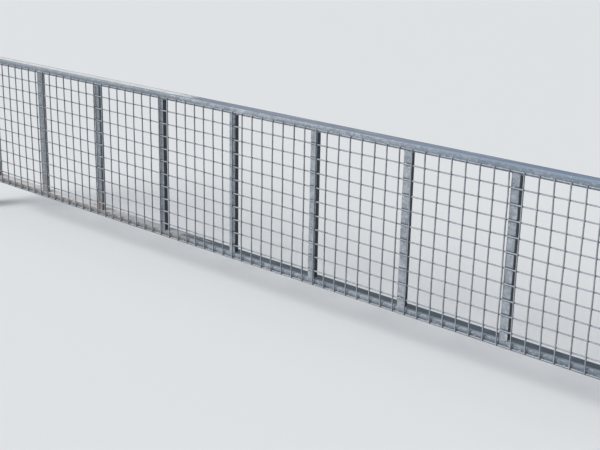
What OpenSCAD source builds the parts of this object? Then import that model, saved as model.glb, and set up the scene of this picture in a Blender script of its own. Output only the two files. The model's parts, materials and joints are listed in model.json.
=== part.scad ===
// Low field gate of galvanised steel box section, clad in welded square mesh.
// One leaf swings between two posts on two eye bolts and gudgeon pins.
// Origin: middle of the hinge post's foot, at ground level. +X runs along the closed
// leaf to the latch post, +Y points away from the mesh side, +Z is up.

/* [Leaf] */
// Clear width of each of the eight bays between the uprights
bay_w = 362; // [200:2:500]
// Height of the leaf, over its rails
leaf_h = 575; // [375:50:1175]
// Gap between the ground and the bottom rail
ground_gap = 150; // [50:10:300]

/* [Rails] */
// Height of a rail's front face
rail_h = 25; // [25:1:50]
// Depth of a rail, front to back
rail_d = 50; // [36:1:60]
// Wall of the rail's box section
rail_wall = 2.5; // [2:0.5:3]
// Outer corner radius of the rail's box section
rail_corner = 4; // [3.5:0.5:5]
// Thickness of the plate that closes each end of a rail
end_plate_t = 3; // [2:1:6]
// Radius of the drain holes under the bottom rail
drain_r = 5; // [3:0.5:6]

/* [Uprights] */
// Width of an upright's front face
upright_w = 30; // [25:1:40]
// Depth of an upright between the stiles
upright_d = 20; // [15:1:30]
// Width of the hinge stile and the latch stile
stile_w = 40; // [30:1:50]
// Depth of the stiles
stile_d = 30; // [30:1:36]
// Wall of the uprights' and stiles' box sections
upright_wall = 2; // [1.5:0.5:3]
// Outer corner radius of the uprights' and stiles' box sections
upright_corner = 3; // [2.5:0.5:4]

/* [Mesh] */
// Distance between the mesh wires, both ways
mesh_pitch = 50; // [40:5:75]
// Diameter of the round wire that the mesh is welded from
wire_dia = 5; // [3:0.5:6]
// How deep the upright wires are welded into the level wires
weld_depth = 0.75; // [0.3:0.05:1]
// Height of the lowest level wire above the leaf's lower edge
first_wire_z = 8; // [6:1:12]
// How far the upright wires run past the outermost level wires
wire_stub = 2.5; // [2:0.5:4]
// Distance from the leaf's hinge end to the first upright wire
first_wire_x = 50; // [30:1:60]
// Distance from either end of the leaf to the ends of the level wires
sheet_inset = 18; // [10:1:25]

/* [Posts] */
// Width of each square post
post_w = 80; // [70:5:100]
// Wall of the posts
post_wall = 4; // [3:0.5:6]
// Outer corner radius of the posts
post_corner = 8; // [6:0.5:10]
// Height of the posts above the ground
post_h = 850; // [750:10:1400]
// Thickness of the plate welded over each post's top
cap_t = 4; // [3:1:8]
// How far the cap plate stands out past the post
cap_lip = 3; // [0:1:6]

/* [Hinges] */
// Radius of the gudgeon pins
pin_r = 8; // [6:0.5:10]
// Radial gap between a gudgeon pin and its eye
pin_gap = 0.5; // [0.3:0.1:1]
// Distance from the post's face to the pin
pin_from_post = 45; // [45:1:80]
// Distance from the pin to the hinge stile
pin_to_stile = 40; // [38:1:60]
// Bend radius of a gudgeon, to the middle of its bar
gudgeon_bend = 16; // [12:1:20]
// Height of the shoulder that an eye sits on
shoulder_h = 3; // [2:1:6]
// Outer radius of an eye
eye_r = 17; // [14:1:22]
// Height of an eye
eye_h = 26; // [18:1:30]
// Distance from a rail to the nearer eye's middle
eye_from_rail = 60; // [50:5:100]
// Width across the flats of a hinge nut
nut_af = 24; // [20:1:30]
// Thickness of a hinge nut
nut_t = 13; // [8:1:16]

/* [Latch] */
// Gap between the latch stile and the latch post
latch_gap = 35; // [25:1:50]
// Height of the stop plate
stop_h = 120; // [60:10:200]
// Thickness of the stop plate and the padlock lug
stop_t = 6; // [5:1:10]
// Gap between the stop plate and the closed leaf
stop_gap = 5; // [5:1:8]
// How far the stop plate reaches behind the latch stile
stop_lap = 20; // [10:1:28]
// Radius of the padlock holes
padlock_r = 6.5; // [4:0.5:8]
// Width of the padlock lug
lug_w = 34; // [26:1:50]

/* [Hidden] */
// Facets of round edges when shown as a mesh
$fn = 48;
// Sides of a mesh wire; the bar has the round wire's cross-section area
wire_sides = 6;
wire_af = wire_dia * sqrt(PI / (2 * sqrt(3)));
wire_r6 = wire_af / sqrt(3);
// Smallest gap between parts that lie against each other
hair = 0.1;

bays = 8;
leaf_w = 2 * stile_w + bays * bay_w + (bays - 1) * upright_w;
hinge_x = post_w / 2 + pin_from_post;
leaf_x = hinge_x + pin_to_stile;
leaf_end = leaf_x + leaf_w;
front_y = -stile_d / 2;
leaf_top = ground_gap + leaf_h;
clear_h = leaf_h - 2 * rail_h;
latch_x = leaf_end + latch_gap + post_w / 2;

level_wires = floor((leaf_h - 2 * first_wire_z) / mesh_pitch) + 1;
last_column = floor((leaf_w - sheet_inset - first_wire_x) / mesh_pitch);
joint_x = upright_x(bays / 2) + upright_w / 2;
joint_column = floor((joint_x - leaf_x - first_wire_x) / mesh_pitch);
level_y = front_y - wire_af / 2;
upright_wire_y = level_y - wire_af + weld_depth;

lower_eye_z = ground_gap + rail_h + eye_from_rail;
upper_eye_z = leaf_top - rail_h - eye_from_rail;
shaft_end = stile_w + pin_to_stile + nut_t + 8;
latch_z = ground_gap + leaf_h / 2;
padlock_x = leaf_end + latch_gap / 2;

galvanised = "#b4b9be";
dull_galvanised = "#9aa0a5";
zinc_wire = "#c3c8cc";

// Rectangle with round corners, its middle on the origin
module round_rect(w, d, r) {
    square([w - 2 * r, d], center = true);
    square([w, d - 2 * r], center = true);
    for (sx = [-1, 1], sy = [-1, 1])
        translate([sx * (w / 2 - r), sy * (d / 2 - r)])
            circle(r);
}

// Cross-section of a hollow box section
module box_profile(w, d, wall, r) {
    difference() {
        round_rect(w, d, r);
        round_rect(w - 2 * wall, d - 2 * wall, r - wall);
    }
}

// A rail's front lies in the mesh plane and its ends are closed by plates
module rail(low_z) {
    translate([leaf_x + end_plate_t, front_y + rail_d / 2, low_z + rail_h / 2])
        rotate([90, 0, 90])
            linear_extrude(leaf_w - 2 * end_plate_t)
                box_profile(rail_d, rail_h, rail_wall, rail_corner);
}

module top_rail() {
    color(galvanised)
        rail(leaf_top - rail_h);
}

module bottom_rail() {
    color(galvanised)
        difference() {
            rail(ground_gap);
            for (x = [leaf_x + stile_w + bay_w / 2, leaf_end - stile_w - bay_w / 2])
                translate([x, front_y + rail_d / 2, ground_gap - 1])
                    cylinder(h = rail_wall + 2, r = drain_r);
        }
}

// Plates welded over both open ends of a rail
module rail_ends(low_z) {
    color(galvanised)
        for (x = [leaf_x, leaf_end - end_plate_t])
            translate([x, front_y + rail_d / 2, low_z + rail_h / 2])
                rotate([90, 0, 90])
                    linear_extrude(end_plate_t)
                        round_rect(rail_d, rail_h, rail_corner);
}

function upright_x(number) =
    leaf_x + stile_w + number * bay_w + (number - 1) * upright_w;

// Box section standing between the rails, its front flush with theirs
module standing_box(x, width, depth) {
    translate([x + width / 2, front_y + depth / 2, ground_gap + rail_h])
        linear_extrude(clear_h)
            box_profile(width, depth, upright_wall, upright_corner);
}

module upright(number) {
    color(galvanised)
        standing_box(upright_x(number), upright_w, upright_d);
}

// The eye bolts pass through the hinge stile from side to side
module hinge_stile() {
    color(galvanised)
        difference() {
            standing_box(leaf_x, stile_w, stile_d);
            for (z = [lower_eye_z, upper_eye_z])
                translate([leaf_x - 1, 0, z])
                    rotate([0, 90, 0])
                        cylinder(h = stile_w + 2, r = pin_r + pin_gap);
        }
}

module latch_stile() {
    color(galvanised)
        standing_box(leaf_end - stile_w, stile_w, stile_d);
}

function column_x(column) = leaf_x + first_wire_x + column * mesh_pitch;
function level_z(level) = ground_gap + first_wire_z + level * mesh_pitch;

// Straight bar along +Z with a flat turned to the frame
module wire_bar(length) {
    linear_extrude(length)
        circle(r = wire_r6, $fn = wire_sides);
}

// Welded mesh: level wires against the frame, upright wires in front of them
module mesh_sheet(first, last, low_x, high_x) {
    color(zinc_wire)
        union() {
            for (level = [0 : level_wires - 1])
                translate([low_x, level_y, level_z(level)])
                    rotate([0, 90, 0])
                        wire_bar(high_x - low_x);
            for (column = [first : last])
                translate([column_x(column), upright_wire_y, level_z(0) - wire_stub])
                    wire_bar((level_wires - 1) * mesh_pitch + 2 * wire_stub);
        }
}

module hinge_side_mesh() {
    mesh_sheet(0, joint_column, leaf_x + sheet_inset, joint_x - hair);
}

module latch_side_mesh() {
    mesh_sheet(joint_column + 1, last_column, joint_x + hair, leaf_end - sheet_inset);
}

module post(x) {
    color(dull_galvanised)
        translate([x, 0, 0])
            linear_extrude(post_h)
                box_profile(post_w, post_w, post_wall, post_corner);
}

module post_cap(x) {
    color(dull_galvanised)
        translate([x, 0, post_h])
            linear_extrude(cap_t)
                round_rect(post_w + 2 * cap_lip, post_w + 2 * cap_lip,
                           post_corner + cap_lip);
}

// Round bar welded to the post, bent up into a pin with a shoulder under the eye
module gudgeon(eye_z) {
    shoulder_top = eye_z - eye_h / 2 - hair;
    bar_z = shoulder_top - shoulder_h - gudgeon_bend;
    pin_top = eye_z + eye_h / 2 + 12;
    color(dull_galvanised)
        union() {
            translate([post_w / 2, 0, bar_z])
                rotate([0, 90, 0])
                    cylinder(h = pin_from_post - gudgeon_bend, r = pin_r);
            translate([hinge_x - gudgeon_bend, 0, bar_z + gudgeon_bend])
                rotate([90, 0, 0])
                    rotate([0, 0, -90])
                        rotate_extrude(angle = 90)
                            translate([gudgeon_bend, 0])
                                circle(pin_r);
            translate([hinge_x, 0, bar_z + gudgeon_bend])
                cylinder(h = pin_top - 2 - bar_z - gudgeon_bend, r = pin_r);
            translate([hinge_x, 0, pin_top - 2])
                cylinder(h = 2, r1 = pin_r, r2 = pin_r - 2);
            translate([hinge_x, 0, shoulder_top - shoulder_h])
                cylinder(h = shoulder_h, r = pin_r + 5);
        }
}

// Forged eye on a threaded bar that passes through the hinge stile
module eye_bolt(eye_z) {
    color(dull_galvanised)
        difference() {
            union() {
                translate([hinge_x, 0, eye_z - eye_h / 2])
                    cylinder(h = eye_h, r = eye_r);
                translate([hinge_x, 0, eye_z])
                    rotate([0, 90, 0])
                        cylinder(h = shaft_end, r = pin_r);
            }
            translate([hinge_x, 0, eye_z - eye_h / 2 - 1])
                cylinder(h = eye_h + 2, r = pin_r + pin_gap);
        }
}

// One nut on each side of the stile holds the eye bolt at its set length
module hinge_nuts(eye_z) {
    color(dull_galvanised)
        for (x = [leaf_x - nut_t, leaf_x + stile_w])
            translate([x, 0, eye_z])
                rotate([0, 90, 0])
                    difference() {
                        cylinder(h = nut_t, r = nut_af / sqrt(3), $fn = 6);
                        translate([0, 0, -1])
                            cylinder(h = nut_t + 2, r = pin_r + hair);
                    }
}

// Flat bar on the latch post that the latch stile closes against, drilled for a padlock
module stop_plate() {
    low_x = leaf_end - stop_lap;
    plate_w = latch_gap + stop_lap;
    color(dull_galvanised)
        translate([low_x, -front_y + stop_gap + stop_t, latch_z])
            rotate([90, 0, 0])
                linear_extrude(stop_t)
                    difference() {
                        translate([plate_w / 2, 0])
                            square([plate_w, stop_h], center = true);
                        translate([padlock_x - low_x, 0])
                            circle(padlock_r);
                    }
}

// Lug welded to the latch stile, its hole in line with the stop plate's
module padlock_lug() {
    reach = padlock_x - leaf_end;
    color(dull_galvanised)
        translate([leaf_end, -front_y, latch_z])
            rotate([90, 0, 0])
                linear_extrude(stop_t)
                    difference() {
                        union() {
                            translate([0, -lug_w / 2])
                                square([reach, lug_w]);
                            intersection() {
                                translate([reach, 0])
                                    circle(lug_w / 2);
                                translate([reach, -lug_w / 2])
                                    square([latch_gap / 2 - stop_gap - 1, lug_w]);
                            }
                        }
                        translate([reach, 0])
                            circle(padlock_r);
                    }
}

post(0);  // hinge_post
post_cap(0);  // hinge_post_cap
gudgeon(lower_eye_z);  // lower_gudgeon
gudgeon(upper_eye_z);  // upper_gudgeon
post(latch_x);  // latch_post
post_cap(latch_x);  // latch_post_cap
stop_plate();
top_rail();
bottom_rail();
rail_ends(leaf_top - rail_h);  // top_rail_ends
rail_ends(ground_gap);  // bottom_rail_ends
hinge_stile();
latch_stile();
upright(1);  // upright_1
upright(2);  // upright_2
upright(3);  // upright_3
upright(4);  // upright_4
upright(5);  // upright_5
upright(6);  // upright_6
upright(7);  // upright_7
hinge_side_mesh();
latch_side_mesh();
eye_bolt(lower_eye_z);  // lower_eye_bolt
eye_bolt(upper_eye_z);  // upper_eye_bolt
hinge_nuts(lower_eye_z);  // lower_hinge_nuts
hinge_nuts(upper_eye_z);  // upper_hinge_nuts
padlock_lug();
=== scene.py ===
import json
import math
import random

import bpy
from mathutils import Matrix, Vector


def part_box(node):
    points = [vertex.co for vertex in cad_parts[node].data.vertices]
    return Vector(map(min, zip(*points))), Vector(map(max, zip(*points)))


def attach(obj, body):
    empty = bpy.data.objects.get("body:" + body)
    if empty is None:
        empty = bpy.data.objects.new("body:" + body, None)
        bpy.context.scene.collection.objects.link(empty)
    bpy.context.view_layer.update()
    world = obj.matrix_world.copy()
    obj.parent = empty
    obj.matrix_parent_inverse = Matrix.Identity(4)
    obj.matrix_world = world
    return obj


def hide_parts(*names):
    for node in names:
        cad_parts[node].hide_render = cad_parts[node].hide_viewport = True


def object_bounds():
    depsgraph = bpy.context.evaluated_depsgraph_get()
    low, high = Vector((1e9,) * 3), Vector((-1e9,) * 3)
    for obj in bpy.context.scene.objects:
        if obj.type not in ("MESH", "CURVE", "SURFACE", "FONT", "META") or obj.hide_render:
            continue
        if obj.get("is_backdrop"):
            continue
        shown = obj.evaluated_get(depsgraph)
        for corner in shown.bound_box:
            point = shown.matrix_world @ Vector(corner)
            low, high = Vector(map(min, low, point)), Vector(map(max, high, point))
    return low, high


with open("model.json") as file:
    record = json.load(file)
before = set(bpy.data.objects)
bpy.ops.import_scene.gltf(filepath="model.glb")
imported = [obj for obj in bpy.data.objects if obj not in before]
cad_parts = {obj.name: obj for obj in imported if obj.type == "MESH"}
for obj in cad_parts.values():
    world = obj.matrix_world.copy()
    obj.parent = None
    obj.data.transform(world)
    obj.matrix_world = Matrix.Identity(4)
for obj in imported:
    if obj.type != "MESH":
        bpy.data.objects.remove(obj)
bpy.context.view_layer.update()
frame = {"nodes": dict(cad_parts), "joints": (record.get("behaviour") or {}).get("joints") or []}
nodes = frame["nodes"]


# The view
# A standing person's view of the mesh side, from near the latch end, with both ends of
# the leaf outside the picture. The place and the lens were worked out from the mesh.
camera = bpy.data.objects.new("standing_view", bpy.data.cameras.new("standing_view"))
camera.data.sensor_width = 36
camera.data.lens = 65.888
camera.data.clip_end = 200
camera.location = (4.491, -2.7434, 1.4905)
camera.rotation_euler = [math.radians(angle) for angle in (72.789, -1.137, 42.105)]
bpy.context.scene.collection.objects.link(camera)
bpy.context.scene.camera = camera
bpy.context.scene.view_settings.view_transform = "Standard"


# Rails, stiles and uprights
# Cold-rolled steel box section, cut and welded into one frame, then dipped in molten zinc.
# Years outdoors have turned its crystals into a soft blue-grey patina with chalky clouds,
# and rain has left a dark film on the faces that stay wet. Painted shade and painted
# reflections are laid on some faces as well.
def linear(hex_colour):
    """An sRGB hex colour as the linear values that a shader takes."""
    parts = [int(hex_colour[i:i + 2], 16) / 255 for i in (1, 3, 5)]
    return [p / 12.92 if p <= 0.04045 else ((p + 0.055) / 1.055) ** 2.4 for p in parts] + [1.0]


def add_node(tree, kind, settings=None, links=None):
    """Adds a node; a setting is a property or an input socket, a link feeds an input."""
    made = tree.nodes.new(kind)
    for key, value in (settings or {}).items():
        if isinstance(key, str) and hasattr(made, key):
            setattr(made, key, value)
        else:
            made.inputs[key].default_value = value
    for key, output in (links or {}).items():
        tree.links.new(output, made.inputs[key])
    return made


def patches(tree, place, size_mm, low, high, stretch=(1, 1, 1), least=0.0, most=1.0):
    """An amount in soft patches of a size; they are longer where stretch is small."""
    fitted = add_node(tree, "ShaderNodeMapping", {"Scale": stretch}, {"Vector": place})
    noise = add_node(tree, "ShaderNodeTexNoise",
                     {"Scale": 1000 / size_mm, "Detail": 5.0, "Roughness": 0.62},
                     {"Vector": fitted.outputs["Vector"]})
    return add_node(tree, "ShaderNodeMapRange",
                    {"interpolation_type": "SMOOTHSTEP", "From Min": low, "From Max": high,
                     "To Min": least, "To Max": most},
                    {"Value": noise.outputs["Fac"]}).outputs["Result"]


def rising(tree, vector, way, start, end, most=1.0):
    """An amount from 0 to most, as a place or a facing goes that way from start to end."""
    along = add_node(tree, "ShaderNodeVectorMath", {"operation": "DOT_PRODUCT", 1: way},
                     {0: vector}).outputs["Value"]
    return add_node(tree, "ShaderNodeMapRange",
                    {"interpolation_type": "SMOOTHSTEP", "From Min": start, "From Max": end,
                     "To Max": most}, {"Value": along}).outputs["Result"]


def lay_over(tree, coat, amounts, colour, roughness, metallic):
    """A coat is (colour, roughness, metallic); this lays another over it where all amounts are high."""
    amount = amounts[0]
    for other in amounts[1:]:
        amount = add_node(tree, "ShaderNodeMath", {"operation": "MULTIPLY"},
                          {0: amount, 1: other}).outputs["Value"]
    mixed_colour = add_node(tree, "ShaderNodeMix", {"data_type": "RGBA", 7: linear(colour)},
                            {0: amount, 6: coat[0]}).outputs[2]
    mixed_roughness = add_node(tree, "ShaderNodeMix", {3: roughness}, {0: amount, 2: coat[1]})
    mixed_metallic = add_node(tree, "ShaderNodeMix", {3: metallic}, {0: amount, 2: coat[2]})
    return mixed_colour, mixed_roughness.outputs[0], mixed_metallic.outputs[0]


def start_zinc(name, zinc, patina, chalk, spangle_mm, cloud_mm, streak_stretch, dirt=1.0):
    """A material with weathered hot-dip zinc on it: material, tree, place, facing and coat.
    spangle_mm is how wide a zinc crystal is, and cloud_mm a cloud of patina."""
    material = bpy.data.materials.new(name)
    material.use_nodes = True
    tree = material.node_tree
    tree.nodes.clear()
    position = add_node(tree, "ShaderNodeTexCoord").outputs
    place, facing = position["Object"], position["Normal"]

    # Zinc crystals with ragged edges, dulled by the patina: each is a little lighter or darker
    ragged = add_node(tree, "ShaderNodeTexNoise", {"Scale": 1500 / spangle_mm, "Detail": 3.0},
                      {"Vector": place})
    torn_place = add_node(tree, "ShaderNodeVectorMath",
                          {"operation": "MULTIPLY_ADD", 1: [spangle_mm / 1300] * 3},
                          {0: ragged.outputs["Color"], 2: place}).outputs["Vector"]
    flakes = add_node(tree, "ShaderNodeTexVoronoi",
                      {"feature": "SMOOTH_F1", "Scale": 1000 / spangle_mm, "Smoothness": 0.25},
                      {"Vector": torn_place})
    flake = add_node(tree, "ShaderNodeSeparateColor", {}, {"Color": flakes.outputs["Color"]}).outputs
    zinc_tone = add_node(tree, "ShaderNodeMix",
                         {"data_type": "RGBA", 6: linear(zinc), 7: linear(patina)},
                         {0: patches(tree, place, cloud_mm, 0.38, 0.62)}).outputs[2]
    flake_gain = add_node(tree, "ShaderNodeMapRange", {"To Min": 0.84, "To Max": 1.14},
                          {"Value": flake["Red"]}).outputs["Result"]
    tone = add_node(tree, "ShaderNodeVectorMath", {"operation": "SCALE"},
                    {0: zinc_tone, "Scale": flake_gain}).outputs["Vector"]
    flake_roughness = add_node(tree, "ShaderNodeMapRange", {"To Min": 0.44, "To Max": 0.60},
                               {"Value": flake["Green"]}).outputs["Result"]
    flake_metal = add_node(tree, "ShaderNodeMapRange", {"To Min": 0.35, "To Max": 0.6},
                           {"Value": flake["Blue"]}).outputs["Result"]
    coat = (tone, flake_roughness, flake_metal)
    # Grime in the hollows between the lumps, pits, and specks of white zinc salt. Pits and specks
    # are pinheads on the real bar, and twice that here so that they show
    coat = lay_over(tree, coat, [patches(tree, place, cloud_mm / 7, 0.50, 0.72, most=dirt),
                                 patches(tree, place, 6, 0.35, 0.6)], "#747b84", 0.6, 0.2)
    coat = lay_over(tree, coat, [patches(tree, place, 5, 0.62, 0.70, most=dirt)],
                    "#565c63", 0.75, 0.1)
    coat = lay_over(tree, coat, [patches(tree, place, 7, 0.56, 0.66, most=0.75 * dirt),
                                 patches(tree, place, 50, 0.35, 0.6)], "#cfd3d7", 0.7, 0.1)
    # Chalky bloom in patches a third the size of the clouds, and in runs along the bar
    coat = lay_over(tree, coat, [patches(tree, place, cloud_mm / 3, 0.50, 0.68),
                                 patches(tree, place, 9, 0.3, 0.65)], chalk, 0.68, 0.15)
    coat = lay_over(tree, coat, [patches(tree, place, 10, 0.54, 0.74, streak_stretch)],
                    chalk, 0.62, 0.2)
    return material, tree, place, facing, coat


def finish_zinc(tree, place, coat, lump_mm, lump_height_mm):
    """Adds the lumps of the zinc and the shader; its porous crust has little gloss."""
    lumps = add_node(tree, "ShaderNodeTexNoise", {"Scale": 1000 / lump_mm, "Detail": 4.0},
                     {"Vector": place})
    relief = add_node(tree, "ShaderNodeBump", {"Strength": 0.5, "Distance": lump_height_mm / 1000},
                      {"Height": lumps.outputs["Fac"]})
    shader = add_node(tree, "ShaderNodeBsdfPrincipled", {"Specular IOR Level": 0.3},
                      {"Base Color": coat[0], "Roughness": coat[1], "Metallic": coat[2],
                       "Normal": relief.outputs["Normal"]})
    add_node(tree, "ShaderNodeOutputMaterial", {}, {"Surface": shader.outputs[0]})


along_x, along_y, along_z = (1, 0, 0), (0, 1, 0), (0, 0, 1)
frame_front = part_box("top_rail")[0].y
rail_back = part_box("top_rail")[1].y
end_wire_up = 0.008  # from a rail's foot to the middle of the mesh's end wire on it
# Places along the leaf, from the middle of the hinge post: the rails' tops are pale up to the first,
# chalk and dust under a painted bright reflection, and beyond it under a film that is partly a painted
# dark reflection; the films and painted reflections darken from the second
pale_top_end, darker_from = 1.5, 2.3


# Weathered galvanised rail: streaks along the rail, a paler line at the foot of its front that
# is a painted highlight on the lower edge, and a painted shadow line beside the mesh's end wire
def rail_material(name, foot_z, shadow_line_z, zinc, patina, chalk):
    """Its material, tree, place, the same place with a ragged X, coat, and two facings."""
    material, tree, place, facing, coat = start_zinc(
        name, zinc, patina, chalk, spangle_mm=11, cloud_mm=110, streak_stretch=(0.03, 1, 1))
    forward = rising(tree, facing, along_y, -0.2, -0.7)
    upward = rising(tree, facing, along_z, 0.55, 0.95)
    # Painted highlight: a paler line along the foot of the front
    coat = lay_over(tree, coat, [rising(tree, place, along_z, foot_z + 0.006, foot_z + 0.004), forward,
                                 patches(tree, place, 25, 0.2, 0.45, (0.3, 1, 1), most=0.8)],
                    "#aaaeb2", 0.6, 0.2)
    # Painted shadow: a dark line beside the end wire
    coat = lay_over(tree, coat, [rising(tree, place, along_z, shadow_line_z - 0.0025, shadow_line_z - 0.001),
                                 rising(tree, place, along_z, shadow_line_z + 0.003, shadow_line_z + 0.001), forward,
                                 patches(tree, place, 30, 0.2, 0.45, (0.25, 1, 1), most=0.8)],
                    "#585d63", 0.8, 0.05)
    # Up to 0.3 m is added to X in long patches, so that films and dust end in ragged tongues
    torn = add_node(tree, "ShaderNodeVectorMath", {"operation": "MULTIPLY_ADD", 1: along_x},
                    {0: patches(tree, place, 30, 0.3, 0.7, (0.15, 1, 1), most=0.3), 2: place})
    return material, tree, place, torn.outputs["Vector"], coat, forward, upward


def pitted(tree, place, coat, face):
    """The coat with specks of zinc salt and dark pits that come through the films on a face.
    They are drawn twice their real size too, here and in the coats below."""
    coat = lay_over(tree, coat, [face, patches(tree, place, 6, 0.54, 0.66, (0.5, 1, 1), most=0.5)],
                    "#b9c0c8", 0.65, 0.15)
    return lay_over(tree, coat, [face, patches(tree, place, 5, 0.59, 0.68, (0.7, 1, 1), most=0.7)],
                    "#4b525a", 0.7, 0.1)


# Top rail: on top, chalk under a painted reflection of bright sky towards the hinges, and a thin
# blue-grey film in long streaks towards the latch, its blue a painted reflection. A painted shadow
# line lies below the end wire
top_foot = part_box("top_rail")[0].z
top_rail_steel, tree, place, torn, coat, forward, upward = rail_material(
    "weathered_galvanised_top_rail", top_foot, top_foot + end_wire_up - 0.0042,
    "#969da6", "#848c96", "#b0b5bc")
# A dull film on its front: towards the hinges, darker on the lower part, and towards the latch
coat = lay_over(tree, coat, [forward, rising(tree, torn, along_x, pale_top_end + 0.15, pale_top_end - 0.1, 0.6),
                             patches(tree, place, 40, 0.2, 0.5, (0.2, 1, 1), least=0.6)],
                "#7f868e", 0.6, 0.2)
coat = lay_over(tree, coat, [forward, rising(tree, torn, along_x, pale_top_end + 0.25, pale_top_end, 0.7),
                             rising(tree, place, along_z, top_foot + 0.0195, top_foot + 0.0155),
                             patches(tree, place, 25, 0.2, 0.5, (0.25, 1, 1), least=0.6)],
                "#6a7178", 0.7, 0.1)
coat = lay_over(tree, coat, [forward,
                             rising(tree, place, along_x, darker_from - 0.1, darker_from + 0.7, 0.85),
                             patches(tree, place, 30, 0.2, 0.5, (0.2, 1, 1), least=0.6)],
                "#727e8b", 0.6, 0.2)
# The film on top, with a painted blue reflection that deepens towards the latch, and pale and dark streaks,
# specks and pits in it
coat = lay_over(tree, coat, [upward, rising(tree, torn, along_x, pale_top_end - 0.05, pale_top_end + 0.1),
                             patches(tree, place, 45, 0.2, 0.6, (0.12, 1, 1), least=0.4, most=0.88)],
                "#778598", 0.45, 0.2)
coat = lay_over(tree, coat, [upward, rising(tree, place, along_x, darker_from, darker_from + 0.9, 0.8)],
                "#66798f", 0.42, 0.2)
washed = [upward, rising(tree, torn, along_x, pale_top_end, pale_top_end + 0.15)]
coat = lay_over(tree, coat, washed + [patches(tree, place, 9, 0.50, 0.64, (0.03, 1, 1), most=0.75)],
                "#a9b4c3", 0.45, 0.2)
coat = lay_over(tree, coat, washed + [patches(tree, place, 8, 0.54, 0.66, (0.025, 1, 1), most=0.7)],
                "#5c6878", 0.5, 0.1)
coat = lay_over(tree, coat, washed + [patches(tree, place, 5, 0.48, 0.66, (0.5, 1, 1), most=0.55)],
                "#8d98a7", 0.55, 0.2)
coat = lay_over(tree, coat, washed + [patches(tree, place, 4, 0.60, 0.68, (0.6, 1, 1), most=0.8)],
                "#566270", 0.6, 0.1)
coat = lay_over(tree, coat, [upward, rising(tree, place, along_x, darker_from, darker_from + 0.7, 0.45)],
                "#58728f", 0.45, 0.2)
# A pale band along the front edge, where rain has thinned the film
coat = lay_over(tree, coat, [upward,
                             rising(tree, place, along_x, darker_from - 0.1, darker_from + 0.8, 0.8),
                             rising(tree, place, along_y, frame_front + 0.014, frame_front + 0.009),
                             rising(tree, place, along_y, frame_front + 0.0005, frame_front + 0.0035)],
                "#a3b1c1", 0.5, 0.2)
# The pale part: chalk under a painted reflection of bright sky, with greyer runs, whiter patches and pits
# in it
pale_top = [upward, rising(tree, torn, along_x, pale_top_end + 0.1, pale_top_end),
       rising(tree, place, along_y, frame_front + 0.005, frame_front + 0.017)]
coat = lay_over(tree, coat, pale_top + [patches(tree, place, 60, 0.2, 0.5, (0.15, 1, 1), least=0.75)],
                "#e9ebea", 0.6, 0.1)
coat = lay_over(tree, coat, pale_top + [patches(tree, place, 10, 0.46, 0.64, (0.12, 1, 1), most=0.6)],
                "#c3c9cc", 0.6, 0.15)
coat = lay_over(tree, coat, pale_top + [patches(tree, place, 14, 0.50, 0.66, (0.25, 1, 1), most=0.9)],
                "#f6f7f4", 0.65, 0.0)
coat = lay_over(tree, coat, pale_top + [patches(tree, place, 4, 0.60, 0.68, (0.6, 1, 1), most=0.7)],
                "#8b9193", 0.7, 0.1)
# Painted shade along the back edge of the pale part, where the rear corner turns from the light
coat = lay_over(tree, coat, [upward, rising(tree, torn, along_x, pale_top_end + 0.1, pale_top_end, 0.85),
                             rising(tree, place, along_y, rail_back - 0.0095, rail_back - 0.0065),
                             patches(tree, place, 35, 0.25, 0.5, (0.2, 1, 1), least=0.6)],
                "#84898b", 0.7, 0.1)
finish_zinc(tree, place, pitted(tree, place, coat, forward), 7, 0.35)

# Bottom rail: duller, with painted shade on its front as from dark ground below. Water stands behind
# the mesh in a dark blue-grey film with a chalky rim, its darkness partly a painted reflection, and pale
# dust, partly a painted bright reflection, lies towards the hinges. A painted shadow line lies above the
# end wire
bottom_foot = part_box("bottom_rail")[0].z
bottom_rail_steel, tree, place, torn, coat, forward, upward = rail_material(
    "weathered_galvanised_bottom_rail", bottom_foot, bottom_foot + end_wire_up + 0.0038,
    "#899099", "#78808a", "#a3a8ae")
# The water's film with a painted dark reflection in it, greener and darker in places, and the rim of chalk
# before it
water_and_dark_reflection = [upward, rising(tree, torn, along_x, pale_top_end - 0.05, pale_top_end + 0.1, 0.95),
       rising(tree, place, along_y, frame_front + 0.004, frame_front + 0.016),
       patches(tree, place, 40, 0.25, 0.6, (0.3, 1, 1), least=0.7)]
coat = lay_over(tree, coat, water_and_dark_reflection, "#2b4053", 0.45, 0.0)
coat = lay_over(tree, coat, water_and_dark_reflection + [patches(tree, place, 30, 0.5, 0.64, (0.4, 1, 1))],
                "#2f4f52", 0.5, 0.0)
coat = lay_over(tree, coat, water_and_dark_reflection + [patches(tree, place, 18, 0.48, 0.62, (0.4, 1, 1), most=0.7)],
                "#18262f", 0.4, 0.0)
coat = lay_over(tree, coat, [upward,
                             rising(tree, place, along_y, frame_front + 0.015, frame_front + 0.008, 0.75),
                             patches(tree, place, 16, 0.3, 0.55, (0.4, 1, 1))], "#959da5", 0.6, 0.2)
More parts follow.
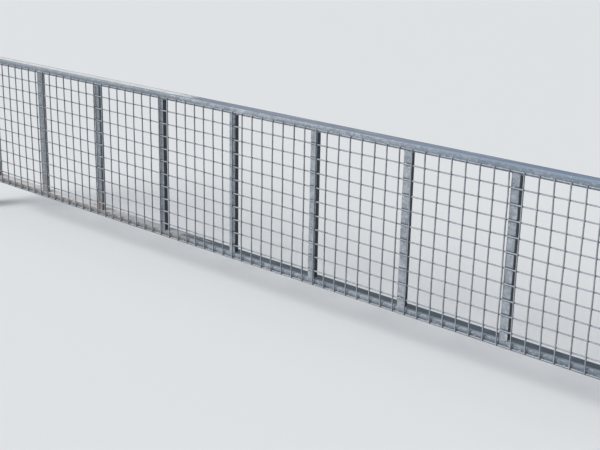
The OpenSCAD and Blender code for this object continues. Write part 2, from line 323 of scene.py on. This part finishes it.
# The dust under a painted bright reflection: pale and pinkish, with browner drifts and crumbs, and greyer
# where it nears the water
dust_and_bright_reflection = [upward, rising(tree, torn, along_x, pale_top_end + 0.15, pale_top_end, 0.95),
         rising(tree, place, along_y, frame_front - 0.002, frame_front + 0.015),
         patches(tree, place, 50, 0.2, 0.45, (0.3, 1, 1), least=0.7)]
coat = lay_over(tree, coat, dust_and_bright_reflection, "#f1ece8", 0.75, 0.0)
coat = lay_over(tree, coat, dust_and_bright_reflection + [patches(tree, place, 35, 0.5, 0.66, (0.4, 1, 1), most=0.7)],
                "#bda99d", 0.8, 0.0)
coat = lay_over(tree, coat, dust_and_bright_reflection + [patches(tree, place, 5, 0.56, 0.68, (0.6, 1, 1), most=0.7)],
                "#9b918a", 0.8, 0.0)
coat = lay_over(tree, coat, dust_and_bright_reflection + [rising(tree, torn, along_x, pale_top_end - 0.6, pale_top_end - 0.15, 0.65),
                                     patches(tree, place, 30, 0.2, 0.5, (0.3, 1, 1), least=0.5)],
                "#949aa3", 0.7, 0.1)
# Painted shade on the front, as from dark ground below: browner towards the hinges and greyer
# towards the latch, both darker on the lower part
coat = lay_over(tree, coat, [forward, rising(tree, torn, along_x, pale_top_end + 0.25, pale_top_end, 0.75),
                             patches(tree, place, 30, 0.2, 0.5, (0.3, 1, 1), least=0.6)],
                "#86827e", 0.75, 0.05)
coat = lay_over(tree, coat, [forward, rising(tree, torn, along_x, pale_top_end + 0.25, pale_top_end, 0.7),
                             rising(tree, place, along_z, bottom_foot + 0.0195, bottom_foot + 0.0155),
                             patches(tree, place, 25, 0.2, 0.5, (0.25, 1, 1), least=0.6)],
                "#696867", 0.75, 0.05)
coat = lay_over(tree, coat, [forward, rising(tree, place, along_x, darker_from, darker_from + 0.8, 0.8),
                             rising(tree, place, along_z, bottom_foot + 0.0185, bottom_foot + 0.0155),
                             patches(tree, place, 25, 0.2, 0.5, (0.25, 1, 1), least=0.5)],
                "#5d6772", 0.7, 0.1)
coat = lay_over(tree, coat, [forward,
                             rising(tree, place, along_x, darker_from + 0.1, darker_from + 0.9, 0.5),
                             patches(tree, place, 30, 0.2, 0.5, (0.2, 1, 1), least=0.6)],
                "#66717d", 0.65, 0.1)
finish_zinc(tree, place, pitted(tree, place, coat, forward), 7, 0.35)
for name in ("top_rail", "top_rail_ends"):
    nodes[name].material_slots[0].material = top_rail_steel
for name in ("bottom_rail", "bottom_rail_ends"):
    nodes[name].material_slots[0].material = bottom_rail_steel

# Weathered galvanised upright: streaks down it, and painted shade on the side away from the
# light, deeper away from the hinges. Those near the hinges have a dull film in front, and brown
# rust at the foot and up the rear edge
upright_steel, tree, place, facing, coat = start_zinc(
    "weathered_galvanised_upright", zinc="#9ca2a9", patina="#8a9199", chalk="#b4b9be",
    spangle_mm=10, cloud_mm=55, streak_stretch=(1, 1, 0.05))
# Painted shade: a dark coat on the faces turned away from the light
painted_shade_facing = (1, 0.4, 0)
coat = lay_over(tree, coat, [rising(tree, facing, painted_shade_facing, 0.5, 0.85, 0.95),
                             rising(tree, place, along_x, 0.35, 1.35)], "#373c42", 0.6, 0.0)
# A dull film on the fronts near the hinges, and a dark line on either side of each level
# wire, partly dirt where rain hangs between wire and bar and partly painted shadow of the wire
forward = rising(tree, facing, along_y, -0.2, -0.7)
coat = lay_over(tree, coat, [forward, rising(tree, place, along_x, pale_top_end + 0.1, pale_top_end - 0.3, 0.55)],
                "#6b7278", 0.65, 0.1)
wire_radius = 0.0025
mesh_pitch = 0.050
height = add_node(tree, "ShaderNodeSeparateXYZ", {}, {"Vector": place}).outputs["Z"]
above_first_wire = add_node(tree, "ShaderNodeMath",
                            {"operation": "SUBTRACT", 1: bottom_foot + end_wire_up},
                            {0: height}).outputs["Value"]
from_a_wire = add_node(tree, "ShaderNodeMath", {"operation": "PINGPONG", 1: mesh_pitch / 2},
                       {0: above_first_wire}).outputs["Value"]
beside_wires = add_node(tree, "ShaderNodeMapRange",
                        {"interpolation_type": "SMOOTHSTEP",
                         "From Min": wire_radius + 0.0037, "From Max": wire_radius + 0.0017},
                        {"Value": from_a_wire}).outputs["Result"]
coat = lay_over(tree, coat, [beside_wires, forward,
                             patches(tree, place, 12, 0.25, 0.5, least=0.3, most=0.9)],
                "#585d63", 0.8, 0.05)
# Rust in broken patches, at the foot and then up the rear edge
bar_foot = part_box("upright_1")[0].z
near_hinges = rising(tree, place, along_x, 1.3, 1.1, 0.85)
broken = patches(tree, place, 7, 0.36, 0.56, (1, 1, 0.6), least=0.15)
coat = lay_over(tree, coat, [near_hinges,
                             rising(tree, place, along_z, bar_foot + 0.115, bar_foot + 0.015), broken,
                             patches(tree, place, 22, 0.36, 0.58, (1, 1, 0.4))], "#82695d", 0.8, 0.0)
coat = lay_over(tree, coat, [near_hinges,
                             rising(tree, place, along_y, frame_front + 0.009, frame_front + 0.017), broken,
                             patches(tree, place, 60, 0.38, 0.58, (1, 1, 0.3))], "#92745f", 0.8, 0.0)
finish_zinc(tree, place, coat, 7, 0.35)
upright_count = 7
standing_bars = ["hinge_stile", "latch_stile"] + [f"upright_{n + 1}" for n in range(upright_count)]
for name in standing_bars:
    nodes[name].material_slots[0].material = upright_steel


# Welds of the frame
# Each upright and stile is joined to both rails by a fillet weld on either side, one at the
# back, and one in front that is kept low so that the mesh can lie on it. The zinc lies over
# the ripples of the bead, with spatter beside it and drips under the rails.
weld_leg = 0.0032
weld_off_rail = 0.0006
front_weld_rise = 0.0009
side_weld_inset, front_weld_inset = 0.004, 0.002
half_ripple = 0.00125
spatter_per_weld, spatter_inset = 9, 0.004
spatter_away, spatter_radius = (0.006, 0.035), (0.0005, 0.0011)
drips_per_rail = 16
drip_inset, drip_end_gap = 0.0035, 0.05
drip_length, drip_radius = (0.0012, 0.0035), (0.0009, 0.0016)
weld_rng = random.Random(3)


def tube(points, radii, sides):
    """Vertices and faces of a round bar through the points, with closed ends."""
    last = len(points) - 1
    corners, faces = [], []
    for i, point in enumerate(points):
        along = (points[min(i + 1, last)] - points[max(i - 1, 0)]).normalized()
        away = Vector((1, 0, 0)) if abs(along.z) > 0.7 else Vector((0, 0, 1))
        across = along.cross(away).normalized()
        over = across.cross(along)
        for k in range(sides):
            turn = 2 * math.pi * (k + 0.5) / sides
            corners.append(point + radii[i] * (math.cos(turn) * across + math.sin(turn) * over))
    for i in range(last):
        for k in range(sides):
            a, b = i * sides + k, i * sides + (k + 1) % sides
            faces.append((a, b, b + sides, a + sides))
    faces.append(tuple(reversed(range(sides))))
    faces.append(tuple(range(last * sides, (last + 1) * sides)))
    return corners, faces


def make_piece(name, parts, material, body, stands_for=()):
    """One mesh object from (vertices, faces) parts, smooth but for its sharp edges."""
    corners, faces = [], []
    for part_corners, part_faces in parts:
        start = len(corners)
        corners += part_corners
        faces += [tuple(start + i for i in face) for face in part_faces]
    mesh = bpy.data.meshes.new(name)
    mesh.from_pydata([tuple(c) for c in corners], [], faces)
    mesh.validate()
    mesh.shade_smooth()
    mesh.set_sharp_from_angle(angle=math.radians(40))
    mesh.materials.append(material)
    piece = bpy.data.objects.new(name, mesh)
    bpy.context.scene.collection.objects.link(piece)
    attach(piece, body)
    if stands_for:
        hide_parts(*stands_for)


def bead(start, end, radius):
    """A weld bead: a bar with a ripple every 2.5 mm, thinner where it starts and stops."""
    steps = max(6, int((end - start).length / half_ripple))
    points, radii = [], []
    for i in range(steps + 1):
        t = i / steps
        swell = min(1.0, 6 * t + 0.35, 6 * (1 - t) + 0.35)
        ripple = 1 + 0.13 * math.cos(math.pi * i) + weld_rng.uniform(-0.06, 0.06)
        points.append(start.lerp(end, t))
        radii.append(radius * swell * ripple)
    return tube(points, radii, 8)


def blob(middle, wide, tall, deep):
    """A rounded lump, as of spatter or a tack weld."""
    points = [middle + Vector((t * wide, 0, 0)) for t in (-0.98, -0.75, -0.3, 0.3, 0.75, 0.98)]
    corners, faces = tube(points, [r * tall for r in (0.2, 0.66, 0.95, 0.95, 0.66, 0.2)], 8)
    corners = [Vector((c.x, middle.y + (c.y - middle.y) * deep / tall, c.z)) for c in corners]
    return corners, faces


frame_welds = []
for name in standing_bars:
    low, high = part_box(name)
    for z, side_z in ((low.z, 1), (high.z, -1)):
        z += weld_off_rail * side_z
        for x in (low.x, high.x):
            frame_welds.append(bead(Vector((x, low.y + side_weld_inset, z)), Vector((x, high.y, z)),
                                    weld_leg))
        frame_welds.append(bead(Vector((low.x, high.y, z)), Vector((high.x, high.y, z)), weld_leg))
        front_y = low.y - front_weld_rise + weld_leg
        frame_welds.append(bead(Vector((low.x + front_weld_inset, front_y, z)),
                                Vector((high.x - front_weld_inset, front_y, z)), weld_leg))
        # Spatter: drops of steel that stuck beside the weld
        for _ in range(spatter_per_weld):
            x = weld_rng.uniform(low.x + spatter_inset, high.x - spatter_inset)
            away = side_z * weld_rng.uniform(*spatter_away)
            size = weld_rng.uniform(*spatter_radius)
            frame_welds.append(blob(Vector((x, low.y, z + away)), size, size, size))
# Drips: zinc that ran to the underside as the leaf was drawn from the bath
for name in ("top_rail", "bottom_rail"):
    low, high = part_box(name)
    for _ in range(drips_per_rail):
        x = weld_rng.uniform(low.x + drip_end_gap, high.x - drip_end_gap)
        y = weld_rng.choice((low.y + drip_inset, high.y - drip_inset))
        hang = weld_rng.uniform(*drip_length)
        thick = weld_rng.uniform(*drip_radius)
        points = [Vector((x, y, low.z + h)) for h in (0.001, 0.0, -0.5 * hang, -hang)]
        frame_welds.append(tube(points, [1.8 * thick, 1.3 * thick, thick, 0.4 * thick], 8))
# Zinc over weld metal: rougher than on the bar, with less spangle and more chalk
zinc_over_weld, tree, place, facing, coat = start_zinc(
    "zinc_over_weld", zinc="#a4aab0", patina="#9096a0", chalk="#bdc1c6", spangle_mm=4,
    cloud_mm=18, streak_stretch=(1, 1, 1))
finish_zinc(tree, place, coat, 2.5, 0.3)
make_piece("frame_welds", frame_welds, zinc_over_weld, "leaf")


# Mesh
# Welded mesh of round 5 mm steel wire at 50 mm both ways, dipped after welding. The level
# wires lie on the frame, the upright wires are pressed 0.75 mm into them by the welder.
# It comes in two sheets that meet on the fourth upright, tacked to the frame here and there.
level_count, column_count = 12, 63
joint_column = 31  # the first upright wire of the second sheet
first_level_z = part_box("hinge_side_mesh")[0].z + wire_radius
first_column_x = 0.175
pressed_in = 0.00075
level_y = frame_front - wire_radius
upright_wire_y = level_y - 2 * wire_radius + pressed_in
# How far the end wires, the other level wires and the upright wires stray from straight
end_stray, level_stray, upright_stray = 0.0003, 0.0007, 0.0009
point_every = 0.025  # along a wire, which is enough for its gentle bends
wire_sides = 10
nugget_radius = 0.0034
tack_every, tack_inset, tack_off_wire = 3, 0.008, 0.0021
# Half widths, heights and depths: of a tack on an upright or stile, and of one on a rail
bar_tack_width, bar_tack_height, bar_tack_depth = (0.0030, 0.0045), 0.0023, 0.0021
rail_tack_width, rail_tack_height, rail_tack_depth = (0.0035, 0.0055), 0.0026, 0.0024
mesh_rng = random.Random(7)


def wander(most):
    """A wire's own gentle bend: how far it strays, from the distance along it."""
    waves = [(most * mesh_rng.uniform(0.3, 1.0), 2 * math.pi / mesh_rng.uniform(0.22, 0.9),
              mesh_rng.uniform(0, 2 * math.pi)) for _ in range(2)]
    off = most * mesh_rng.uniform(-0.6, 0.6)
    return lambda along: off + sum(size * math.sin(rate * along + start)
                                   for size, rate, start in waves)


def nugget(x, z):
    """The squashed spot where two wires are welded."""
    middle = Vector((x, (level_y + upright_wire_y) / 2, z))
    wide = nugget_radius + mesh_rng.uniform(-0.0003, 0.0003)
    return blob(middle, wide, 0.92 * wide, 0.92 * wide)


def mesh_sheet(low_x, high_x, columns):
    """The wires and welds of one sheet, and where its level wires run."""
    parts = []
    lowest, highest = first_level_z, first_level_z + (level_count - 1) * mesh_pitch
    level_runs = []
    for k in range(level_count):
        # The end wires lie on the rails and are held straight by them
        stray = wander(end_stray if k in (0, level_count - 1) else level_stray)
        level_runs.append(lambda x, k=k, stray=stray: lowest + k * mesh_pitch + stray(x))
        count = math.ceil((high_x - low_x) / point_every)
        points = []
        for i in range(count + 1):
            x = low_x + (high_x - low_x) * i / count
            points.append(Vector((x, level_y, level_runs[k](x))))
        parts.append(tube(points, [wire_radius] * len(points), wire_sides))
    for column in columns:
        middle_x = first_column_x + column * mesh_pitch
        stray = wander(upright_stray)
        count = math.ceil((highest - lowest) / point_every)
        points = []
        for i in range(count + 1):
            z = lowest - wire_radius + (highest - lowest + 2 * wire_radius) * i / count
            points.append(Vector((middle_x + stray(z), upright_wire_y, z)))
        parts.append(tube(points, [wire_radius] * len(points), wire_sides))
        for level_run in level_runs:
            z = level_run(middle_x)
            parts.append(nugget(middle_x + stray(z), z))
    return parts, level_runs


def mesh_tacks(low_x, high_x, level_runs):
    """The short welds that hold a sheet to the uprights, the stiles and both rails. They are
    on every third level wire, and in every third bay of the end wires."""
    tacks = []
    for name in standing_bars:
        low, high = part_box(name)
        for k in range(1, level_count - 1, tack_every):
            x = weld_rng.uniform(low.x + tack_inset, high.x - tack_inset)
            if low_x < x < high_x:
                side = weld_rng.choice((-1, 1))
                tacks.append(blob(Vector((x, frame_front, level_runs[k](x) + tack_off_wire * side)),
                                  weld_rng.uniform(*bar_tack_width), bar_tack_height, bar_tack_depth))
    for k in (0, level_count - 1):
        for column in range(1, column_count - 1, tack_every):
            x = first_column_x + (column + weld_rng.uniform(0.3, 0.7)) * mesh_pitch
            if low_x < x < high_x:
                tacks.append(blob(Vector((x, frame_front, level_runs[k](x) + tack_off_wire)),
                                  weld_rng.uniform(*rail_tack_width), rail_tack_height,
                                  rail_tack_depth))
    return tacks


# Dull galvanised wire: even in tone, since zinc on thin wire freezes before it can form
# crystals, with painted shade like the uprights' on the side away from the light
galvanised_wire, tree, place, facing, coat = start_zinc(
    "dull_galvanised_wire", zinc="#999ea5", patina="#8e939a", chalk="#a8acb2", spangle_mm=3,
    cloud_mm=45, streak_stretch=(0.3, 0.3, 0.3), dirt=0.4)
# Painted shade on the side of each wire turned away from the light
wire_painted_shade_facing = (1, 0.1, 0)
coat = lay_over(tree, coat, [rising(tree, facing, wire_painted_shade_facing, 0.45, 0.85, 0.85)],
                "#3c4147", 0.6, 0.0)
finish_zinc(tree, place, coat, 2.5, 0.15)
tacks = []
for sheet, columns in (("hinge_side", range(joint_column)),
                       ("latch_side", range(joint_column, column_count))):
    low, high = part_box(f"{sheet}_mesh")
    parts, level_runs = mesh_sheet(low.x, high.x, columns)
    make_piece(f"{sheet}_wires", parts, galvanised_wire, "leaf", [f"{sheet}_mesh"])
    tacks += mesh_tacks(low.x, high.x, level_runs)
make_piece("mesh_tacks", tacks, zinc_over_weld, "leaf")


# Posts and caps
# Square hollow section, 80 by 80 by 4 mm, hot-dip galvanised, set in the ground. A plate is
# welded over the top to keep the rain out, with a bead all round it.
corner_cut = 0.008
cap_bead = 0.0027

# Weathered galvanised post: broad clouds, runs from the cap, and splashed dirt at the foot
post_steel, tree, place, facing, coat = start_zinc(
    "weathered_galvanised_post", zinc="#9aa1a8", patina="#879098", chalk="#b0b5bb",
    spangle_mm=13, cloud_mm=130, streak_stretch=(1, 1, 0.03), dirt=0.7)
coat = lay_over(tree, coat, [rising(tree, place, along_z, 0.16, 0.01, 0.85),
                             patches(tree, place, 12, 0.36, 0.6)], "#6f6a62", 0.85, 0.0)
finish_zinc(tree, place, coat, 8, 0.35)
post_welds = []
for post, cap in (("hinge_post", "hinge_post_cap"), ("latch_post", "latch_post_cap")):
    nodes[post].material_slots[0].material = post_steel
    nodes[cap].material_slots[0].material = post_steel
    low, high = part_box(post)
    seam_z = high.z - 0.0005
    corners = [Vector((x, y, seam_z)) for x, y in
               ((low.x, low.y + corner_cut), (low.x, high.y - corner_cut),
                (low.x + corner_cut, high.y), (high.x - corner_cut, high.y),
                (high.x, high.y - corner_cut), (high.x, low.y + corner_cut),
                (high.x - corner_cut, low.y), (low.x + corner_cut, low.y))]
    for i, corner in enumerate(corners):
        post_welds.append(bead(corner, corners[(i + 1) % len(corners)], cap_bead))
make_piece("post_cap_welds", post_welds, zinc_over_weld, "posts")


# Gudgeons
# A 16 mm round bar is bent up into the pin, with a shoulder that carries the eye, and its
# foot is welded all round to the post.
bar_radius = 0.008
fitting_bead = 0.003
ring_off_post, ring_off_bar = 0.001, 0.0015
ring_steps = 20

# Galvanised forging: thick, slightly lumpy zinc with small crystals and dirt in its hollows
fitting_steel, tree, place, facing, coat = start_zinc(
    "galvanised_forging", zinc="#979ea5", patina="#81888f", chalk="#aaafb5", spangle_mm=4,
    cloud_mm=24, streak_stretch=(1, 1, 0.1))
finish_zinc(tree, place, coat, 3, 0.25)
gudgeon_welds = []
for name in ("lower_gudgeon", "upper_gudgeon"):
    nodes[name].material_slots[0].material = fitting_steel
    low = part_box(name)[0]
    middle = Vector((low.x + ring_off_post, 0, low.z + bar_radius))
    ring = [middle + (bar_radius + ring_off_bar) * Vector((0, math.cos(a), math.sin(a)))
            for a in [2 * math.pi * i / ring_steps for i in range(ring_steps + 1)]]
    for i in range(ring_steps):
        gudgeon_welds.append(bead(ring[i], ring[i + 1], fitting_bead))
make_piece("gudgeon_welds", gudgeon_welds, zinc_over_weld, "posts")


# Eye bolts
# A forged eye turns on each gudgeon. It is one piece with an M16 bar that passes through
# the hinge stile, threaded over its whole length so that the leaf can be set straight.
pin_x = frame["joints"][0]["pos_m"][0]
eye_radius, eye_height, eye_bore, eye_round = 0.017, 0.026, 0.0085, 0.0035
bore_chamfer = 0.001
neck_start, neck_step = 0.010, 0.004
neck_radii = [0.0125, 0.0118, 0.0098, 0.0082, 0.0078]
thread_crest, thread_root, thread_pitch = 0.0080, 0.0069, 0.002
thread_gap, core_short = 0.004, 0.0004  # from the eye to the thread, and from core to bar's end
core_radius = 0.99 * thread_root
eye_sides, bar_sides = 48, 28


def ring_faces(corners, rings):
    """Faces between closed rings of corners, and from the last ring back to the first."""
    count = len(corners) // rings
    faces = []
    for k in range(rings):
        for i in range(count):
            a, b = k * count + i, k * count + (i + 1) % count
            c, d = (k + 1) % rings * count + (i + 1) % count, (k + 1) % rings * count + i
            faces.append((a, b, c, d))
    return faces


def turned(profile, centre):
    """A ring-shaped solid from a closed profile of (radius, height) round a standing axis."""
    corners = []
    for k in range(eye_sides):
        turn = 2 * math.pi * k / eye_sides
        for radius, height in profile:
            corners.append(centre + Vector((radius * math.cos(turn), radius * math.sin(turn), height)))
    return corners, [(a, d, c, b) for a, b, c, d in ring_faces(corners, eye_sides)]


def threaded_bar(start_x, end_x, z):
    """A bar along X with a single right-hand thread, and flat ends."""
    turns = (end_x - start_x) / thread_pitch - 1
    steps = int(turns * bar_sides)
    corners, faces = [], []
    for i in range(steps + bar_sides + 1):
        turn = 2 * math.pi * i / bar_sides
        x = start_x + thread_pitch * i / bar_sides
        for radius, shift in ((thread_root, 0.0), (thread_crest, 0.5)):
            corners.append(Vector((min(x + thread_pitch * shift, end_x), radius * math.cos(turn),
                                   z + radius * math.sin(turn))))
    for i in range(steps + bar_sides):
        faces.append((2 * i, 2 * i + 1, 2 * i + 3, 2 * i + 2))
    for i in range(steps):
        j = i + bar_sides
        faces.append((2 * i + 1, 2 * j, 2 * j + 2, 2 * i + 3))
    core = tube([Vector((start_x, 0, z)), Vector((end_x - core_short, 0, z))],
                [core_radius, core_radius], bar_sides)
    return [(corners, faces), core]


# The lower half of the eye's section, from its bore to its rounded outer edge, and its mirror
eye_profile = [(eye_bore, -eye_height / 2 + bore_chamfer), (eye_bore + bore_chamfer, -eye_height / 2)]
for step in range(7):
    a = math.radians(-90 + 15 * step)
    eye_profile.append((eye_radius - eye_round + eye_round * math.cos(a),
                        -eye_height / 2 + eye_round + eye_round * math.sin(a)))
eye_profile += [(r, -h) for r, h in reversed(eye_profile)]
for name in ("lower", "upper"):
    low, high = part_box(f"{name}_eye_bolt")
    z = (low.z + high.z) / 2
    parts = [turned(eye_profile, Vector((pin_x, 0, z)))]
    neck = [Vector((pin_x + neck_start + neck_step * i, 0, z)) for i in range(len(neck_radii))]
    parts.append(tube(neck, neck_radii, bar_sides))
    parts += threaded_bar(pin_x + eye_radius + thread_gap, high.x, z)
    make_piece(f"forged_eye_bolt_{name}", parts, fitting_steel, "leaf",
               [f"{name}_eye_bolt"])


# Hinge nuts
# Hexagon nuts, 24 mm across the flats, with the turned chamfer that gives each flat its
# arched edge. One bears on each side of the stile.
across_flats, nut_thickness, nut_bore = 0.024, 0.013, 0.0081
nut_edge = 0.0008
nut_sides = 72
chamfer_angle = math.radians(30)


def hexagon_nut(x, z):
    """A chamfered nut round an axis along X, from x to x + nut_thickness."""
    flat = across_flats / 2
    chamfer_radius = flat * 0.97
    corners = []
    for k in range(nut_sides):
        turn = 2 * math.pi * k / nut_sides
        off = (turn + math.pi / 6) % (math.pi / 3) - math.pi / 6
        rim = flat / math.cos(off)
        drop = (rim - chamfer_radius) * math.tan(chamfer_angle)
        for radius, along in ((nut_bore + nut_edge, 0), (chamfer_radius, 0), (rim, drop),
                              (rim, nut_thickness - drop), (chamfer_radius, nut_thickness),
                              (nut_bore + nut_edge, nut_thickness), (nut_bore, nut_thickness - nut_edge),
                              (nut_bore, nut_edge)):
            corners.append(Vector((x + along, radius * math.cos(turn), z + radius * math.sin(turn))))
    return corners, ring_faces(corners, nut_sides)


for name in ("lower", "upper"):
    low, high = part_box(f"{name}_hinge_nuts")
    z = (low.z + high.z) / 2
    parts = [hexagon_nut(x, z) for x in (low.x, high.x - nut_thickness)]
    make_piece(f"hexagon_nuts_{name}", parts, fitting_steel, "leaf",
               [f"{name}_hinge_nuts"])


# Stop plate and padlock lug
# Two pieces of 6 mm flat bar: one on the latch post that the latch stile closes against,
# one on the stile, with holes in line for a padlock. Both are welded along their root.
for name in ("stop_plate", "padlock_lug"):
    nodes[name].material_slots[0].material = fitting_steel
low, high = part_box("stop_plate")
stop_welds = [bead(Vector((high.x, y, low.z)), Vector((high.x, y, high.z)), fitting_bead)
              for y in (low.y, high.y)]
make_piece("stop_plate_welds", stop_welds, zinc_over_weld, "posts")
lug_bead = 0.0025
low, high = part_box("padlock_lug")
lug_welds = [bead(Vector((low.x, low.y, z)), Vector((low.x, high.y, z)), lug_bead)
             for z in (low.z, high.z)]
lug_welds.append(bead(Vector((low.x, low.y, low.z)), Vector((low.x, low.y, high.z)), lug_bead))
make_piece("padlock_lug_welds", lug_welds, zinc_over_weld, "leaf")


# Floor and light
# A plain pale studio floor under soft, even light. The room is brighter on the left and in
# front, so the faces turned to the right are darker, as they are under an open sky.
floor_paint = bpy.data.materials.new("pale_studio_floor")
floor_paint.use_nodes = True
floor_shader = floor_paint.node_tree.nodes["Principled BSDF"]
floor_shader.inputs["Base Color"].default_value = linear("#f2f2f1")
floor_shader.inputs["Roughness"].default_value = 0.9
floor_shader.inputs["Specular IOR Level"].default_value = 0.1
floor_corners = [(-40, -40, 0), (45, -40, 0), (45, 60, 0), (-40, 60, 0)]
floor_mesh = bpy.data.meshes.new("floor")
floor_mesh.from_pydata(floor_corners, [], [(0, 1, 2, 3)])
floor_mesh.materials.append(floor_paint)
floor = bpy.data.objects.new("floor", floor_mesh)
bpy.context.scene.collection.objects.link(floor)
floor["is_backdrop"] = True

room = bpy.data.worlds.new("soft_room")
bpy.context.scene.world = room
room.use_nodes = True
tree = room.node_tree
tree.nodes.clear()
direction = add_node(tree, "ShaderNodeTexCoord").outputs["Generated"]
towards_light = (-0.8, -0.6, 0.35)
room_tone = add_node(tree, "ShaderNodeMix",
                     {"data_type": "RGBA", 6: linear("#828993"), 7: linear("#eef2f7")},
                     {0: rising(tree, direction, towards_light, 0.0, 0.5)}).outputs[2]
room_light = add_node(tree, "ShaderNodeBackground", {"Strength": 0.82}, {"Color": room_tone})
# What the eye, the metal and any glass see of the room is an even pale grey
pale_room = add_node(tree, "ShaderNodeBackground", {"Color": linear("#e0e2e4"), "Strength": 1.0})
ray = add_node(tree, "ShaderNodeLightPath").outputs
seen = add_node(tree, "ShaderNodeMath", {"operation": "MAXIMUM"},
                {0: ray["Is Camera Ray"], 1: ray["Is Glossy Ray"]}).outputs["Value"]
seen = add_node(tree, "ShaderNodeMath", {"operation": "MAXIMUM"},
                {0: seen, 1: ray["Is Transmission Ray"]}).outputs["Value"]
lit_or_seen = add_node(tree, "ShaderNodeMixShader", {},
                       {0: seen, 1: room_light.outputs[0], 2: pale_room.outputs[0]})
add_node(tree, "ShaderNodeOutputWorld", {}, {"Surface": lit_or_seen.outputs[0]})

# The light itself is a wide sun from the left and in front, as through thin cloud
lamp = bpy.data.objects.new("soft_key", bpy.data.lights.new("soft_key", "SUN"))
lamp.data.energy = 2.15
lamp.data.angle = math.radians(35)
lamp.rotation_euler = Vector((0.5, 1.0, -0.75)).to_track_quat("-Z", "Y").to_euler()
bpy.context.scene.collection.objects.link(lamp)


low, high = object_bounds()
